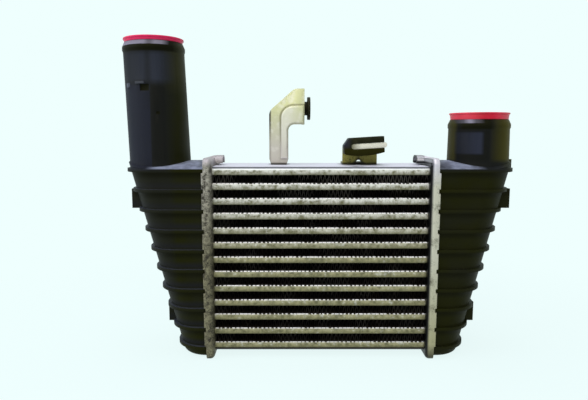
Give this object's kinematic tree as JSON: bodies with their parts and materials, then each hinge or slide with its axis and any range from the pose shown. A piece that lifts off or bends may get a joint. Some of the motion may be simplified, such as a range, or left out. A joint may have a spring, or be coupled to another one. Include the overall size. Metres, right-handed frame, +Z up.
{
  "type": "intercooler",
  "caption": "Side-mount charge-air cooler: flat-tube and folded-fin core crimped between ribbed plastic end tanks with capped hose stubs.",
  "frame": {"origin": "middle of the object's footprint, at the level of the header noses it stands on", "axes": "+X from the tank with the tall stub to the tank with the short stub, +Y through the core, +Z up along the stubs"},
  "size_m": [0.3736, 0.078, 0.3016],
  "materials": {
    "tank_plastic": "semi-matte black glass-filled nylon",
    "left_header_metal": "dull, stained by brazing flux",
    "right_header_metal": "satin",
    "tube_metal": "dull, mottled",
    "fin_metal": "dull sheet",
    "plate_metal": "satin",
    "bracket_metal": "satin, slightly yellow",
    "clip_metal": "dull sheet",
    "black_rubber": "matt",
    "gasket_rubber": "matt",
    "cap_plastic": "waxy red polyethylene"
  },
  "bodies": {
    "root": {"bottom_side_plate": "plate_metal", "bracket_grommet": "black_rubber", "clip_bracket": "clip_metal", "clip_rubber_sleeve": "black_rubber", "fin_01": "fin_metal", "fin_02": "fin_metal", "fin_03": "fin_metal", "fin_04": "fin_metal", "fin_05": "fin_metal", "fin_06": "fin_metal", "fin_07": "fin_metal", "fin_08": "fin_metal", "fin_09": "fin_metal", "fin_10": "fin_metal", "fin_11": "fin_metal", "fin_12": "fin_metal", "left_end_tank": "tank_plastic", "left_header_plate": "left_header_metal", "left_tank_gasket": "gasket_rubber", "left_transit_cap": "cap_plastic", "right_end_tank": "tank_plastic", "right_header_plate": "right_header_metal", "right_tank_gasket": "gasket_rubber", "right_transit_cap": "cap_plastic", "tall_bracket": "bracket_metal", "top_side_plate": "plate_metal", "tube_01": "tube_metal", "tube_02": "tube_metal", "tube_03": "tube_metal", "tube_04": "tube_metal", "tube_05": "tube_metal", "tube_06": "tube_metal", "tube_07": "tube_metal", "tube_08": "tube_metal", "tube_09": "tube_metal", "tube_10": "tube_metal", "tube_11": "tube_metal", "tube_12": "tube_metal", "tube_13": "tube_metal"}
  },
  "joints": []
}
